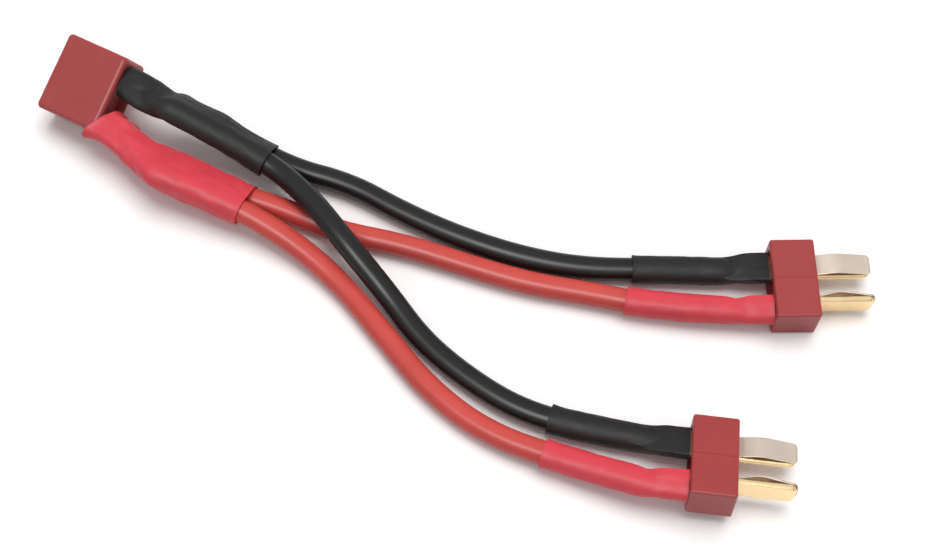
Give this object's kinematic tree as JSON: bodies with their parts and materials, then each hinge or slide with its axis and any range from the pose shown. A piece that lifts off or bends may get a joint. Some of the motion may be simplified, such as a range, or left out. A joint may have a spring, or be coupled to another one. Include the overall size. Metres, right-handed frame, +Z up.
{
  "type": "parallel battery harness",
  "caption": "Branched battery lead: a flat blade socket joined by black and red silicone wires to flat blade plugs, with shrunk sleeves over the soldered joints.",
  "frame": {"origin": "on the table, below the middle of the bounding box of the rigid pieces", "axes": "+X from the socket towards the plugs, +Y away from the viewer, +Z up from the table"},
  "size_m": [0.1618, 0.0976, 0.0144],
  "materials": {
    "red_nylon": "moulded nylon, satin, slightly rounded edges",
    "plated_brass": "stamped brass strip with a thin gold plating",
    "plated_spring_strip": "thin bowed strip, pale champagne plating",
    "black_silicone": "soft silicone jacket, satin",
    "red_silicone": "soft silicone jacket, satin",
    "tinned_copper": "fine tinned copper strands",
    "solder": "smooth soft solder",
    "black_shrunk_sleeve": "shrunk polyolefin sleeve, matte with soft wrinkles",
    "red_shrunk_sleeve": "shrunk polyolefin sleeve, satin with soft wrinkles"
  },
  "bodies": {
    "root": {"socket_housing": "red_nylon", "back_plug_housing": "red_nylon", "front_plug_housing": "red_nylon", "back_plug_flat_blade": "plated_brass", "back_plug_upright_blade": "plated_brass", "front_plug_flat_blade": "plated_brass", "front_plug_upright_blade": "plated_brass", "socket_flat_contact": "plated_brass", "socket_upright_contact": "plated_brass", "back_plug_flat_spring": "plated_spring_strip", "back_plug_upright_spring": "plated_spring_strip", "front_plug_flat_spring": "plated_spring_strip", "front_plug_upright_spring": "plated_spring_strip", "black_wire_to_back_plug": "black_silicone", "black_wire_to_front_plug": "black_silicone", "red_wire_to_back_plug": "red_silicone", "red_wire_to_front_plug": "red_silicone", "black_conductor_to_back_plug": "tinned_copper", "black_conductor_to_front_plug": "tinned_copper", "red_conductor_to_back_plug": "tinned_copper", "red_conductor_to_front_plug": "tinned_copper", "socket_black_solder": "solder", "socket_red_solder": "solder", "back_plug_black_solder": "solder", "back_plug_red_solder": "solder", "front_plug_black_solder": "solder", "front_plug_red_solder": "solder", "socket_black_sleeve": "black_shrunk_sleeve", "back_plug_black_sleeve": "black_shrunk_sleeve", "front_plug_black_sleeve": "black_shrunk_sleeve", "socket_red_sleeve": "red_shrunk_sleeve", "back_plug_red_sleeve": "red_shrunk_sleeve", "front_plug_red_sleeve": "red_shrunk_sleeve"}
  },
  "joints": []
}
